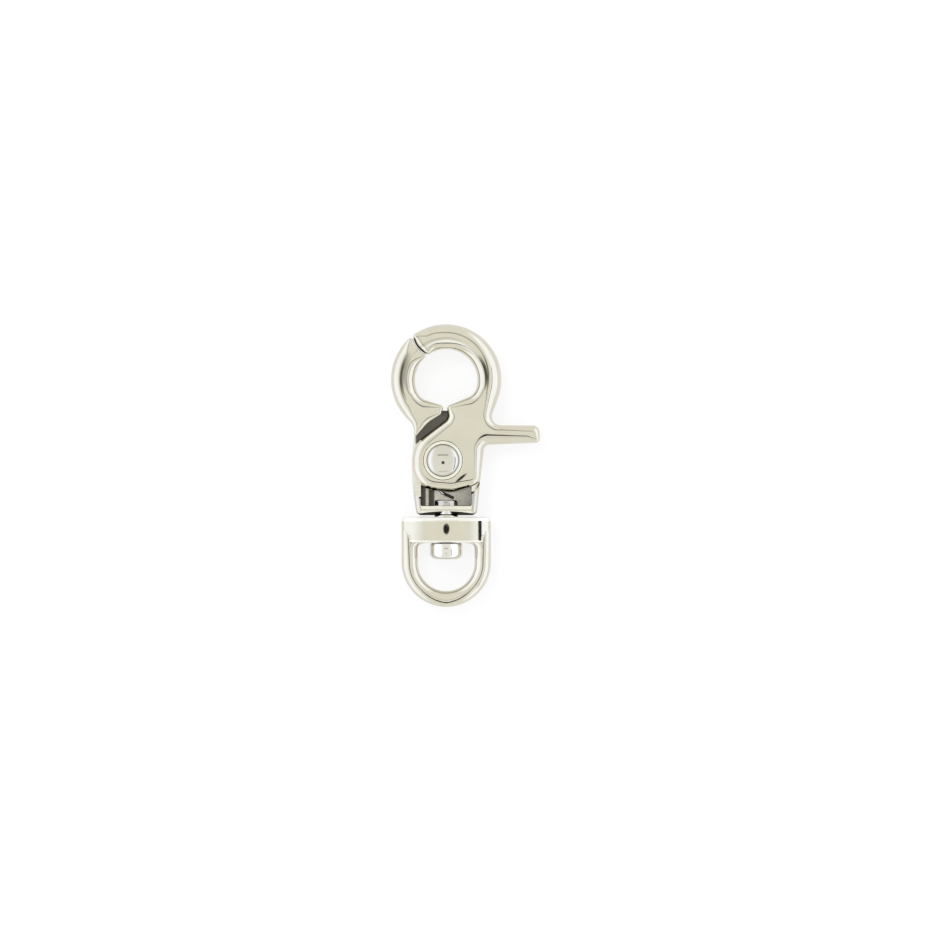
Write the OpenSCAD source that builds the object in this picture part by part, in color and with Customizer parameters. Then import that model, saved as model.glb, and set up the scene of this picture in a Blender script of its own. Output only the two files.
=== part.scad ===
// Swivel snap hook, lying on its back: +Z is up through the thickness,
// the jaw ring is at +Y, the swivel eye at -Y, and the trigger points to +X.
// The drawing point is the centre of the jaw ring; place() moves it to the middle of the box.

/* [Jaw ring] */
// Outer radius of the closed ring
ring_r = 12.44; // [11.8:0.02:12.6]
// Radius of the hole through the ring
hole_r = 7.0; // [6.5:0.1:7.2]
// How far the hole centre sits below the ring centre
hole_drop = 0.2; // [0:0.05:0.4]
// Height of the front faces of the jaws above the rest plane
front_z = 6.4; // [6.2:0.1:6.6]
// Height of the underside of the ring above the rest plane
ring_lift = 0.4; // [0.2:0.1:0.6]
// Width of the rounding outside the fixed jaw
outer_round = 2.05; // [1.7:0.05:2.1]
// Width of the rounding outside the ring on the lever
lever_ring_round = 2.7; // [2.3:0.05:2.8]
// Width of the rounding on the inside of the ring
inner_round = 1.9; // [1.6:0.05:2]

/* [Upper joint of the jaws] */
// Angle of the joint around the ring, from +X
joint_angle = 127.3; // [126:0.1:129]
// Radius of the rounded end of the lever at the joint
joint_r = 5.2; // [4.9:0.1:5.6]
// How far the rounded end bulges past a straight cut
joint_bulge = 0.7; // [0.5:0.05:0.9]
// Gap between the two jaws at the joint
joint_gap = 0.3; // [0.25:0.05:0.45]
// Corner radius on the ends of the jaws
end_corner = 0.7; // [0.5:0.1:0.8]

/* [Lower notch and slot] */
// Half of the gap between the two lips under the hole
lip_gap = 0.5; // [0.45:0.01:0.55]
// Level of the tops of the lips below the ring centre
lip_level = 5.72; // [5.6:0.02:5.9]
// Corner radius on the lips
lip_corner = 0.72; // [0.6:0.02:0.75]
// Radius of the blend from the hole into the fixed lip
fixed_lip_r = 3.0; // [2.8:0.1:3.2]
// Angle around the hole where that blend starts
fixed_lip_angle = 203; // [200:1:205]
// Radius of the blend from the hole into the moving lip
moving_lip_r = 3.2; // [3:0.1:3.4]
// Angle around the hole where that blend starts
moving_lip_angle = -12; // [-14:1:-10]
// Radius of the curved slot edge of the fixed jaw
slot_r = 9.6; // [9.5:0.05:9.8]
// Width of the rounding on the slot edge of the fixed jaw
slot_round = 1.0; // [0.8:0.05:1.1]

/* [Lever and trigger] */
// Radius of the lever around the pivot
lobe_r = 7.0; // [6.8:0.05:7.1]
// Radius of the lower left of the lever
heel_r = 5.8; // [5.6:0.05:6]
// Radius of the belly of the lever under the pivot
belly_r = 6.0; // [5.8:0.05:6.1]
// Radius of the lower right corner of the lever
toe_r = 2.5; // [2.2:0.1:2.6]
// Width of the rounding around the pivot end of the lever
lever_round = 1.95; // [1.7:0.05:2.1]
// Width of the rounding on the right side of the lever
side_round = 1.4; // [1.2:0.05:1.6]
// Reach of the trigger to the right of the ring centre
trigger_reach = 21.05; // [20:0.05:22]
// Level of the top edge of the trigger below the ring centre
trigger_top = 10.32; // [10.2:0.02:10.5]
// Height of the trigger at its end
trigger_h = 3.95; // [3.6:0.05:4.2]
// Corner radius on top of the end of the trigger
trigger_nose = 1.65; // [1.4:0.05:1.8]
// Corner radius under the end of the trigger
trigger_chin = 0.95; // [0.8:0.05:1.1]
// Width of the rounding on top of the trigger
trigger_round = 0.8; // [0.7:0.05:0.9]
// Width of the rounding under the trigger
underside_round = 1.9; // [1.6:0.05:2]

/* [Housing] */
// Half width of the housing at the pivot
waist = 7.7; // [7.6:0.02:7.9]
// Level of the underside of the housing below the ring centre
housing_bottom = 30.55; // [30.4:0.05:30.6]
// Level of the middle of the arched lip below the ring centre
lip_arch_top = 29.5; // [29.3:0.05:29.6]
// Radius of the arch
lip_arch_r = 28; // [26:0.5:30]
// Height of the ledge behind the arch
ledge_z = 2.2; // [2:0.1:2.6]
// Height of the front of the lower lip above the rest plane
lip_front_z = 6.2; // [6:0.1:6.4]
// Height of the step that the lever lies on
step_z = 3.9; // [3.8:0.05:4]
// Radius of the tongue behind the lever, around the pivot
tongue_r = 11.2; // [11:0.05:11.3]
// Radius that is cut clear around the pivot for the lever
sweep_r = 9.5; // [9.4:0.05:9.7]
// Width of the rounding around the housing
housing_round = 1.25; // [1:0.05:1.3]
// Half width of the pocket
pocket_half = 5.75; // [5.5:0.05:5.8]
// Level of the lower edge of the pocket below the ring centre
pocket_bottom = 28.35; // [28.2:0.05:28.4]
// Level of the upper edge of the pocket below the ring centre
pocket_top = 21.2; // [20.8:0.1:21.6]
// Height of the pocket floor above the rest plane
pocket_floor = 1.0; // [0.9:0.02:1.05]

/* [Pivot rivet] */
// Sideways place of the pivot from the ring centre
pivot_x = -0.72; // [-0.8:0.02:-0.6]
// Level of the pivot below the ring centre
pivot_drop = 18.2; // [18.1:0.05:18.3]
// Radius of the rivet shank
shank_r = 1.8; // [1.6:0.05:1.9]
// Radius of the domed head
head_r = 3.7; // [3.5:0.05:3.8]
// Height of the head above the recess
head_h = 1.45; // [1.3:0.05:1.6]
// Radius of the flat on top of the dome
head_flat = 1.5; // [1.2:0.1:1.7]
// Radius of the small dimple in the flat
dimple_r = 0.4; // [0.3:0.05:0.5]
// Depth of the dimple
dimple_depth = 0.2; // [0.1:0.05:0.3]
// Radius of the recess in the lever around the head
recess_r = 4.42; // [4.3:0.02:4.5]
// Depth of the recess
recess_depth = 0.5; // [0.4:0.05:0.6]
// Radius of the upset tail at the back
tail_r = 2.8; // [2.5:0.05:2.9]
// Thickness of the tail
tail_h = 0.5; // [0.45:0.05:0.55]

/* [Return spring] */
// Radius of the wire
wire_r = 0.32; // [0.28:0.01:0.34]
// Radius of the coil at the middle of the wire
coil_r = 2.62; // [2.5:0.02:2.8]
// Distance from one turn to the next
coil_pitch = 0.72; // [0.7:0.01:0.74]
// Radius of the room for the coil
coil_room = 3.7; // [3.5:0.05:3.8]

/* [Swivel pin] */
// Height of the swivel axis above the rest plane
swivel_z = 3.7; // [3.7:0.01:3.75]
// Radius of the pin
pin_r = 1.5; // [1.4:0.05:1.55]
// Radius of the button head inside the eye
button_r = 3.7; // [3.5:0.05:3.7]
// Length of the button head
button_h = 3.6; // [3.3:0.05:3.8]
// Rounding on the free end of the button head
button_round = 1.3; // [1:0.1:1.4]
// Radius of the upset end in the pocket
upset_r = 2.6; // [2.3:0.05:2.65]
// Length of the upset end
upset_h = 1.25; // [1:0.05:1.3]

/* [Swivel eye] */
// Half width of the eye outside
eye_half = 10.07; // [9.9:0.01:10.2]
// Half width of the eye inside
eye_inner = 6.35; // [6.2:0.05:6.5]
// Level of the top of the crossbar below the ring centre
bar_top = 30.9; // [30.85:0.01:31]
// Height of the crossbar
bar_h = 5.85; // [5.7:0.05:6]
// Half depth of the crossbar in the middle
bar_half = 3.5; // [3.3:0.05:3.6]
// Half depth of the crossbar at its ends
bar_end = 2.1; // [2:0.05:2.2]
// Half thickness of the loop
loop_half = 1.9; // [1.8:0.05:2]
// Room for the strap between the button head and the foot of the loop
strap_room = 7.11; // [6.5:0.01:9]
// Thickness of the foot of the loop
foot_w = 3.6; // [3.5:0.05:3.7]
// Width of the rounding on the legs of the loop
loop_round = 1.7; // [1.5:0.05:1.75]
// Radius of the collar on the crossbar
collar_r = 2.7; // [2.5:0.05:2.8]
// Height of the collar
collar_h = 0.62; // [0.5:0.02:0.7]

/* [Clearances] */
// Running clearance on the radius of a turning shaft
run_gap = 0.05; // [0.02:0.01:0.08]
// Gap between faces that slide past each other
face_gap = 0.1; // [0.08:0.01:0.15]
// Gap between curved edges that pass each other
edge_gap = 0.3; // [0.3:0.01:0.35]

/* [Hidden] */
$fn = 64;
// largest distance between a drawn arc and its facets
arc_error = 0.02;
// number of steps in each rounded edge
round_steps = 6;
tiny = 0.01;

pivot = [pivot_x, -pivot_drop];
hole_c = [0, -hole_drop];
bearing_z = step_z + face_gap;
recess_z = front_z - recess_depth;
bar_foot = bar_top + bar_h;
head_y = bar_foot + face_gap;
hook_length = ring_r + head_y + button_h + strap_room + foot_w;
coil_floor = pocket_floor - 0.1;
box_x = (trigger_reach - ring_r) / 2;
box_y = (ring_r - (hook_length - ring_r)) / 2;

function polar(c, r, a) = [c[0] + r * cos(a), c[1] + r * sin(a)];
function heading(v) = atan2(v[1], v[0]);
function unit_range(v) = max(-1, min(1, v));

// one of the two points at the given distances from two centres
function meet(p, rp, q, rq, side) =
    let (d = norm(q - p))
    let (a = (rp * rp - rq * rq + d * d) / (2 * d))
    let (h = sqrt(max(0, rp * rp - a * a)))
    let (u = (q - p) / d)
    p + a * u + side * h * [-u[1], u[0]];

// An outline is a closed belt around circles. Each circle is [x, y, radius, rounding width],
// and a negative radius is a hollow curve, with the circle on the outside of the outline.
function belt_run(a, b) =
    let (d = [b[0] - a[0], b[1] - a[1]])
    heading(d) - asin(unit_range((b[2] - a[2]) / norm(d)));
function belt_turn(from, to, left) =
    let (t = ((left ? to - from : from - to) + 1080) % 360)
    (left ? 1 : -1) * (t > 350 ? t - 360 : t);
function arc_step(r) = 2 * acos(1 - min(0.5, arc_error / abs(r)));
function eased(w, p, pins) = min([w, for (q = pins) q[2] + q[3] * norm(p - [q[0], q[1]])]);

// stations along the belt: [x, y, radius, heading, rounding width], with none on top of another;
// each pin is [x, y, rounding width there, how quickly it widens away from there]
function stations(belt, pins = []) =
    let (all = every_station(belt, pins))
    let (n = len(all))
    [for (i = [0:n - 1])
        if (norm(inset_point(all[i], 0) - inset_point(all[(i + n - 1) % n], 0)) > 0.01) all[i]];
function every_station(belt, pins) =
    let (n = len(belt))
    [for (i = [0:n - 1])
        let (c = belt[i])
        let (h0 = belt_run(belt[(i + n - 1) % n], c))
        let (t = belt_turn(h0, belt_run(c, belt[(i + 1) % n]), c[2] > 0))
        let (m = max(1, ceil(abs(t) / arc_step(c[2]))))
        for (j = [0:m])
            let (h = h0 + t * j / m)
            let (p = [c[0] + c[2] * sin(h), c[1] - c[2] * cos(h)])
            [c[0], c[1], c[2], h, eased(c[3], p, pins)]];
function inset_point(s, d) = [s[0] + (s[2] - d) * sin(s[3]), s[1] - (s[2] - d) * cos(s[3])];

// rounding rows: [share of the rounding width, height]
function round_up(z, h) = [for (k = [0:round_steps])
    let (t = 90 * k / round_steps)
    [1 - sin(t), z + h * (1 - cos(t))]];
function round_over(z, h) = [for (k = [0:round_steps])
    let (t = 90 * k / round_steps)
    [1 - cos(t), z - h + h * sin(t)]];

// a solid with rounded edges: each row is the outline moved inwards, at its own height
module pillow(marks, rows) {
    n = len(marks);
    m = len(rows);
    points = [for (r = rows) for (s = marks)
        let (p = inset_point(s, r[0] * s[4]))
        [p[0], p[1], r[1]]];
    sides = [for (k = [0:m - 2]) for (i = [0:n - 1])
        let (a = k * n + i)
        let (b = k * n + (i + 1) % n)
        for (f = [[a, a + n, b + n], [a, b + n, b]]) f];
    floor_face = [for (i = [0:n - 1]) i];
    roof_face = [for (i = [n - 1:-1:0]) (m - 1) * n + i];
    polyhedron(points = points, faces = concat([floor_face, roof_face], sides), convexity = 10);
}

// keeps a shape in one faceted piece
module cast() {
    resize([0, 0, 0]) union() children();
}

module place() {
    translate([-box_x, -box_y, 0]) children();
}

// a turned shape along the swivel axis: y is measured down from the ring centre
module turned(y) {
    translate([0, -y, swivel_z]) rotate([90, 0, 0]) children();
}

ring_h = (front_z - ring_lift) / 2;
joint_mid = polar([0, 0], (ring_r + hole_r) / 2, joint_angle);
joint_c = polar(joint_mid, joint_r - joint_bulge, joint_angle - 90);

moving_lip_c = polar(hole_c, hole_r - moving_lip_r, moving_lip_angle);
fixed_lip_c = polar(hole_c, hole_r - fixed_lip_r, fixed_lip_angle);
slot_c = [2.35, -17.15];
side_fillet = 3.7;
side_x = 7.16;
side_c = [-side_x - side_fillet, -sqrt(pow(ring_r + side_fillet, 2) - pow(side_x + side_fillet, 2))];

fixed_jaw_belt = [
    [0, 0, ring_r, outer_round],
    [side_c[0], side_c[1], -side_fillet, outer_round],
    [-side_x + 0.35, -12.3, 0.35, 0.3],
    [slot_c[0], slot_c[1], -slot_r, slot_round],
    [-lip_gap - 1.05, -7.6, 0.42, 0.4],
    [-lip_gap - 0.23 - lip_corner, -lip_level - lip_corner, lip_corner, 0.65],
    [fixed_lip_c[0], fixed_lip_c[1], -fixed_lip_r, 1.6],
    [hole_c[0], hole_c[1], -hole_r, inner_round],
    fixed_end(hole_c, hole_r + 0.5, 0.5),
    [joint_c[0], joint_c[1], -joint_r - joint_gap, 0.45],
    fixed_end([0, 0], ring_r - end_corner, end_corner)
];
function fixed_end(c, d, r) =
    let (p = meet(c, d, joint_c, joint_r + joint_gap + r, 1))
    [p[0], p[1], r, r * 0.9];
fixed_jaw_pins = [
    [-8.6, 8.9, 0.6, 0.55],
    [-4.9, 4.9, 0.44, 0.6],
    [-0.75, -6.15, 0.5, 0.42],
    [-side_x, -12.6, 0.3, 0.3]
];

function lever_end(c, d, r) =
    let (p = meet(c, d, joint_c, joint_r - r, 1))
    [p[0], p[1], r, r * 0.95];
lever_belt = [
    [0, 0, ring_r, lever_ring_round],
    lever_end([0, 0], ring_r - end_corner, end_corner),
    [joint_c[0], joint_c[1], joint_r, 1.3],
    lever_end(hole_c, hole_r + end_corner, end_corner),
    [hole_c[0], hole_c[1], -hole_r, inner_round],
    [moving_lip_c[0], moving_lip_c[1], -moving_lip_r, 1.7],
    [lip_gap - 0.22 + lip_corner, -lip_level - lip_corner, lip_corner, 0.7],
    [-1.5, -7.9, -1.75, 1.7],
    [pivot[0], pivot[1], lobe_r, lever_round],
    [-waist + heel_r, -19.25, heel_r, lever_round],
    [1.0, -19.3, belly_r, lever_round],
    [waist + 0.1 - toe_r, -21.55, toe_r, side_round],
    [9.8, -16.0, -1.33, underside_round],
    [trigger_reach - trigger_chin, -trigger_top - trigger_h + trigger_chin, trigger_chin, 0.9],
    [trigger_reach - trigger_nose, -trigger_top - trigger_nose, trigger_nose, trigger_round],
    [12.3, -trigger_top + 2.0, -2.0, 2.0]
];
lever_pins = [
    [-7.2, 10.0, 0.62, 0.5],
    [-4.2, 5.9, 0.62, 0.5],
    [-3.5, 11.9, 1.8, 0.06],
    [0, 6.8, 1.3, 0.06],
    [0.5, -6.1, 0.66, 0.5],
    [9.8, -14.4, 1.4, 0.5],
    [trigger_reach - 0.75, -trigger_top - trigger_h, 0.9, 0.15],
    [12.5, -trigger_top, 0.85, 0.5]
];

tongue_corner = polar(pivot, tongue_r - 1, 44);
tongue_root = polar(pivot, tongue_r - 1.5, 120);
housing_belt = [
    [-waist + 45, -20.2, 45, housing_round],
    [-5.55, -housing_bottom + 1.3, 1.3, 1.2],
    [5.7, -housing_bottom + 1.3, 1.3, 1.2],
    [waist - 0.05 - 60, -20, 60, housing_round],
    [tongue_corner[0], tongue_corner[1], 1, 0.8],
    [pivot[0], pivot[1], tongue_r, 0.8],
    [tongue_root[0], tongue_root[1], 1.5, 0.8]
];

module fixed_jaw() {
    pillow(stations(fixed_jaw_belt, fixed_jaw_pins),
        concat(round_up(ring_lift, ring_h), round_over(front_z, ring_h)));
}

// the housing with its front cut away wherever the lever lies or sweeps
module housing() {
    difference() {
        pillow(stations(housing_belt),
            concat(round_up(0, 1.3), round_over(lip_front_z, 1.3)));
        translate([pivot[0], pivot[1], step_z]) cylinder(r1 = sweep_r, r2 = sweep_r + 0.9, h = 4, $fn = 96);
        translate([-20, pivot[1] - 4, step_z]) cube([40, 21, 4]);
        translate([0, -lip_arch_top - lip_arch_r, ledge_z]) cylinder(r = lip_arch_r, h = 5, $fn = 240);
        turned(lip_arch_top + 0.5) cylinder(r = collar_r + edge_gap, h = 3);
    }
}

module pocket() {
    r = 0.3;
    translate([0, 0, pocket_floor]) linear_extrude(front_z) {
        polygon([for (s = stations([
            [-pocket_half + r, -pocket_top - r, r, 0],
            [-pocket_half + 0.1 + r, -pocket_bottom + r, r, 0],
            [pocket_half - 0.1 - r, -pocket_bottom + r, r, 0],
            [pocket_half - r, -pocket_top - r, r, 0]
        ])) inset_point(s, 0)]);
    }
}

module body() {
    color([0.80, 0.80, 0.77]) place() difference() {
        cast() {
            difference() {
                union() {
                    fixed_jaw();
                    housing();
                }
                pocket();
                translate([pivot[0], pivot[1], coil_floor]) cylinder(r = coil_room, h = front_z);
                translate([pivot[0], pivot[1], -1]) cylinder(r = tail_r + run_gap, h = 1 + tail_h);
            }
        }
        translate([pivot[0], pivot[1], -1]) cylinder(r = shank_r, h = front_z);
        turned(pocket_bottom - 1) cylinder(r = pin_r, h = 4);
    }
}

module lever() {
    leg = polar(pivot, coil_r, lever_leg_angle);
    color([0.82, 0.81, 0.77]) place() difference() {
        cast() {
            pillow(stations(lever_belt, lever_pins),
                concat(round_up(ring_lift, ring_h), round_over(front_z, ring_h)));
        }
        translate([pivot[0], pivot[1], -1]) cylinder(r = tongue_r + edge_gap, h = 1 + bearing_z);
        translate([pivot[0], pivot[1], 0]) rotate_extrude() {
            polygon([
                [0, bearing_z - 1], [shank_r + run_gap, bearing_z - 1], [shank_r + run_gap, recess_z],
                [recess_r, recess_z], [recess_r, front_z - 0.2], [recess_r + 1.2, front_z + 1], [0, front_z + 1]
            ]);
        }
        translate([leg[0], leg[1], 0]) cylinder(r = wire_r + 0.1, h = recess_z - 0.4);
    }
}

// dome of the rivet head, as points from the flat to the rim
rim_h = 0.4;
dome_r = (head_r * head_r - head_flat * head_flat + pow(head_h - rim_h, 2)) / (2 * (head_h - rim_h));
function dome(steps) = [for (k = [0:steps])
    let (x = head_flat + (head_r - head_flat) * sin(90 * k / steps))
    let (base = sqrt(dome_r * dome_r - head_flat * head_flat))
    [x, rivet_z + head_h + sqrt(dome_r * dome_r + head_flat * head_flat - x * x) - dome_r]];
rivet_z = recess_z + face_gap / 2;

module pivot_rivet() {
    color([0.84, 0.84, 0.82]) place() translate([pivot[0], pivot[1], 0]) rotate_extrude() {
        polygon(concat(
            [[0, 0], [tail_r - 0.2, 0], [tail_r, 0.2], [tail_r, tail_h], [shank_r, tail_h]],
            [[shank_r, rivet_z], [head_r - 0.15, rivet_z], [head_r, rivet_z + 0.15]],
            [for (k = [8:-1:0]) dome(8)[k]],
            [[dimple_r, rivet_z + head_h], [0, rivet_z + head_h - dimple_depth]]
        ));
    }
}

coil_turns = 3;
coil_start = 262;
coil_z = coil_floor + wire_r + 0.06;
lever_leg_angle = coil_start + 360 * coil_turns;
coil_parts = 22;
wire_sides = 10;

// the helix: rings of points around the wire, square to it
module coil() {
    n = coil_turns * coil_parts;
    points = [for (i = [0:n]) for (j = [0:wire_sides - 1])
        let (a = coil_start + 360 * i / coil_parts)
        let (b = 360 * j / wire_sides)
        let (r = coil_r + wire_r * cos(b))
        [r * cos(a), r * sin(a), coil_pitch * i / coil_parts + wire_r * sin(b)]];
    sides = [for (i = [0:n - 1]) for (j = [0:wire_sides - 1])
        let (a = i * wire_sides + j)
        let (b = i * wire_sides + (j + 1) % wire_sides)
        for (f = [[a, b, b + wire_sides], [a, b + wire_sides, a + wire_sides]]) f];
    first = [for (j = [wire_sides - 1:-1:0]) j];
    last = [for (j = [0:wire_sides - 1]) n * wire_sides + j];
    polyhedron(points = points, faces = concat([first, last], sides), convexity = 10);
}

// a straight length of wire from one point to another
module wire(a, b) {
    d = b - a;
    translate(a) rotate([0, acos(d[2] / norm(d)), atan2(d[1], d[0])]) cylinder(r = wire_r, h = norm(d));
}

module torsion_spring() {
    foot = polar([0, 0], coil_r, coil_start);
    head = polar([0, 0], coil_r, lever_leg_angle);
    z0 = coil_z;
    z1 = coil_z + coil_pitch * coil_turns;
    bend = [-0.55, -25.35 + pivot_drop];
    tip = [2.4, -26.7 + pivot_drop];
    color([0.72, 0.72, 0.70]) place() translate([pivot[0], pivot[1], 0]) {
        translate([0, 0, z0]) coil();
        wire([foot[0], foot[1], z0], [bend[0], bend[1], z0 + 1.2]);
        translate([foot[0], foot[1], z0]) sphere(r = wire_r + tiny);
        translate([bend[0], bend[1], z0 + 1.2]) sphere(r = wire_r + tiny);
        wire([bend[0], bend[1], z0 + 1.2], [tip[0], tip[1], z0 + 1.2]);
        translate([head[0], head[1], z1]) sphere(r = wire_r + tiny);
        wire([head[0], head[1], z1], [head[0], head[1], recess_z - 0.6]);
    }
}

module swivel_pin() {
    upset_y = pocket_bottom - upset_h;
    color([0.84, 0.84, 0.82]) place() turned(upset_y) rotate_extrude() {
        polygon(concat(
            [[0, 0], [upset_r - 0.35, 0], [upset_r, 0.35], [upset_r, upset_h], [pin_r, upset_h]],
            [[pin_r, head_y - upset_y], [button_r - 0.35, head_y - upset_y], [button_r, head_y - upset_y + 0.35]],
            [for (k = [0:8]) [
                button_r - button_round * (1 - cos(90 * k / 8)),
                head_y - upset_y + button_h - button_round * (1 - sin(90 * k / 8))
            ]],
            [[0.5, head_y - upset_y + button_h], [0, head_y - upset_y + button_h - 0.25]]
        ));
    }
}

// crossbar seen along the swivel axis: two long curves meeting small round ends
bar_x = eye_half - bar_end;
bar_curve = (bar_x * bar_x + bar_half * bar_half - bar_end * bar_end) / (2 * (bar_half - bar_end));
bar_belt = [
    [bar_x, 0, bar_end, 0.95],
    [0, bar_half - bar_curve, bar_curve, 0.5],
    [-bar_x, 0, bar_end, 0.95],
    [0, bar_curve - bar_half, bar_curve, 0.5]
];

module crossbar() {
    turned(bar_top) pillow(stations(bar_belt),
        concat(round_up(0, 0.6), round_over(bar_h, 0.6)));
}

loop_w = eye_half - eye_inner;
eye_bottom = hook_length - ring_r;
loop_belt = [
    [0, -eye_bottom + eye_half, eye_half, loop_round],
    [eye_half - loop_w / 2, -bar_foot + 2.4, loop_w / 2, loop_round],
    [-eye_half + loop_w / 2, -bar_foot + 2.4, loop_w / 2, loop_round]
];
loop_pins = [[0, -eye_bottom, foot_w / 4, 0.12]];
arch_r = 27;
arch_corner = 1.2;
gap_belt = [
    [0, -eye_bottom + foot_w + eye_inner, eye_inner, -loop_round],
    [eye_inner - arch_corner, -bar_foot - 1.4, arch_corner, -loop_round],
    [0, -bar_foot + 0.25 - arch_r, arch_r, -loop_round],
    [-eye_inner + arch_corner, -bar_foot - 1.4, arch_corner, -loop_round]
];
gap_pins = [[0, -eye_bottom + foot_w, -foot_w * 0.68, 0.15]];

module loop() {
    top = swivel_z + loop_half;
    low = swivel_z - loop_half;
    difference() {
        pillow(stations(loop_belt, loop_pins), concat(round_up(low, loop_half), round_over(top, loop_half)));
        pillow(stations(gap_belt, gap_pins), concat([[1.02, low - 1]], round_up(low, loop_half),
            round_over(top, loop_half), [[1.02, top + 1]]));
    }
}

module swivel_eye() {
    color([0.81, 0.81, 0.78]) place() difference() {
        cast() {
            loop();
            crossbar();
            turned(bar_top - collar_h) cylinder(r1 = collar_r - 0.5, r2 = collar_r, h = 0.35, $fn = 48);
            turned(bar_top - collar_h + 0.35) cylinder(r = collar_r, h = 2, $fn = 48);
        }
        turned(bar_top - 2) cylinder(r = pin_r + run_gap, h = bar_h + 4);
    }
}

body();
lever();
pivot_rivet();
torsion_spring();
swivel_pin();
swivel_eye();
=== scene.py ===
import math

import bmesh
import bpy
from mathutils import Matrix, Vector


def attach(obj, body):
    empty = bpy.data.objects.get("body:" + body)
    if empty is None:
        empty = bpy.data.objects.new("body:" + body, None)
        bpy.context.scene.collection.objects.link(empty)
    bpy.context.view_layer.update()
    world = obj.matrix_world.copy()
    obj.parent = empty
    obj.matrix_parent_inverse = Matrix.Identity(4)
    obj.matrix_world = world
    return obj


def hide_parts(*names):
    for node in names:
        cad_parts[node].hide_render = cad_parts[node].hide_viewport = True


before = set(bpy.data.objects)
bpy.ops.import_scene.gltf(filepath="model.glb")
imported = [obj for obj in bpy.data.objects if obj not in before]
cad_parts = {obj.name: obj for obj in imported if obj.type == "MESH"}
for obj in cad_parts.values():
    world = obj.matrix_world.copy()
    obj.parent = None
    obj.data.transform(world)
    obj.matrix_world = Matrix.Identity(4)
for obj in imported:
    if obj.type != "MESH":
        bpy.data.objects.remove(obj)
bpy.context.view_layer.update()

MM = 0.001

# the drawing point is the centre of the jaw ring; the row's origin is the middle of the box
RING_R = 12.44
HOOK_LENGTH = 63.6
TRIGGER_REACH = 21.05
ORIGIN = ((TRIGGER_REACH - RING_R) / 2, RING_R - HOOK_LENGTH / 2)

# ring, jaws and lips
HOLE_R = 7.0
HOLE_C = (0.0, -0.2)
HOLE_ROUND = 1.9
FRONT_Z = 6.4
RING_LIFT = 0.4
JAW_H = (FRONT_Z - RING_LIFT) / 2
JOINT_R = 5.2
JOINT_ANGLE = 127.3
JOINT_BOW = 0.7
JOINT_CORNER = 0.7
JOINT_GAP = 0.16
LIP_GAP = 0.5
LIP_LEVEL = 5.72
LIP_CORNER = 0.72
FIXED_LIP_R = 3.0
MOVING_LIP_R = 3.2

# housing, pocket and pivot
PIVOT = (-0.72, -18.2)
WAIST = 7.7
HOUSING_Z = 6.2
HOUSING_FOOT = 30.55
ARCH_TOP = 29.5
ARCH_R = 28
LEDGE_Z = 2.2
POCKET_FLOOR = 1.0
POCKET_FOOT = 28.35
COIL_FLOOR = 0.9
STEP_Z = 3.9
SWEEP_R = 9.5
TONGUE_R = 11.2
RECESS_Z = 5.9
RECESS_R = 4.42
SHANK_R = 1.8
TAIL_R = 2.8
TAIL_H = 0.5
FACE_GAP = 0.1
BORE_GAP = 0.05

# swivel, with levels below the ring centre
SWIVEL_Z = 3.7
PIN_R = 1.5
BAR_TOP = 30.9
BAR_H = 5.85
BAR_FOOT = BAR_TOP + BAR_H

# levels that cutters reach, clear of every piece
BELOW = -1
ABOVE = 8

# facets: how far an arc's side may leave the arc, its largest turn, and the shortest side kept
ARC_ERROR = 0.004
LARGEST_TURN = 0.12
SHORTEST_SIDE = 0.004
ROUND_STEPS = 14

# front edges: width of the border, height of a rounding over its width, and share of painted highlight on a rim
LINE = 0.14
FULLNESS = 1.15
RIM_HIGHLIGHT = 0.75

# brightness of the tent above and at the sides
TOP_LEVEL = 1.04
SIDE_LEVEL = 1.42


# ---- outlines: closed belts round circles [x, y, radius, width of the rounding] ----

def polar(c, r, degrees):
    """The point at distance r from c, in a direction in degrees."""
    a = math.radians(degrees)
    return (c[0] + r * math.cos(a), c[1] + r * math.sin(a))


def arc(c, r, w):
    """A circle of a belt round the point c."""
    return (c[0], c[1], r, w)


def meet(p, rp, q, rq):
    """The point at distance rp from p and rq from q, left of the way from p to q."""
    dx, dy = q[0] - p[0], q[1] - p[1]
    d = math.hypot(dx, dy)
    a = (rp * rp - rq * rq + d * d) / (2 * d)
    h = math.sqrt(max(0.0, rp * rp - a * a))
    return (p[0] + (a * dx - h * dy) / d, p[1] + (a * dy + h * dx) / d)


def belt_run(a, b):
    """The heading of the straight run from circle a to circle b."""
    dx, dy = b[0] - a[0], b[1] - a[1]
    q = (b[2] - a[2]) / math.hypot(dx, dy)
    return math.atan2(dy, dx) - math.asin(max(-1.0, min(1.0, q)))


def belt_turn(start, end, left):
    """The turn round a circle from one heading to another; almost a full turn means a slight one back."""
    t = (end - start if left else start - end) % math.tau
    if t > math.radians(350):
        t -= math.tau
    return t if left else -t


def inset_point(s, d):
    """The outline's point at a station, moved inwards by d."""
    return (s[0] + (s[2] - d) * math.sin(s[3]), s[1] - (s[2] - d) * math.cos(s[3]))


def stations(belt, pins=()):
    """Stations [x, y, radius, heading, rounding width] along the belt; pins narrow the rounding near a point."""
    n = len(belt)
    found = []
    for i, c in enumerate(belt):
        h0 = belt_run(belt[i - 1], c)
        t = belt_turn(h0, belt_run(c, belt[(i + 1) % n]), c[2] > 0)
        step = 2 * math.acos(1 - min(0.5, ARC_ERROR / abs(c[2])))
        m = max(1, math.ceil(abs(t) / min(step, LARGEST_TURN)))
        for j in range(m + 1):
            h = h0 + t * j / m
            p = inset_point((c[0], c[1], c[2], h), 0)
            w = min([c[3]] + [q[2] + q[3] * math.dist(p, q[:2]) for q in pins])
            found.append((c[0], c[1], c[2], h, w))
    outline = [inset_point(s, 0) for s in found]
    return [s for i, s in enumerate(found) if math.dist(outline[i], outline[i - 1]) > SHORTEST_SIDE]


def quarter(steps):
    """The angles of a quarter turn."""
    return [math.pi / 2 * k / steps for k in range(steps + 1)]


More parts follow.
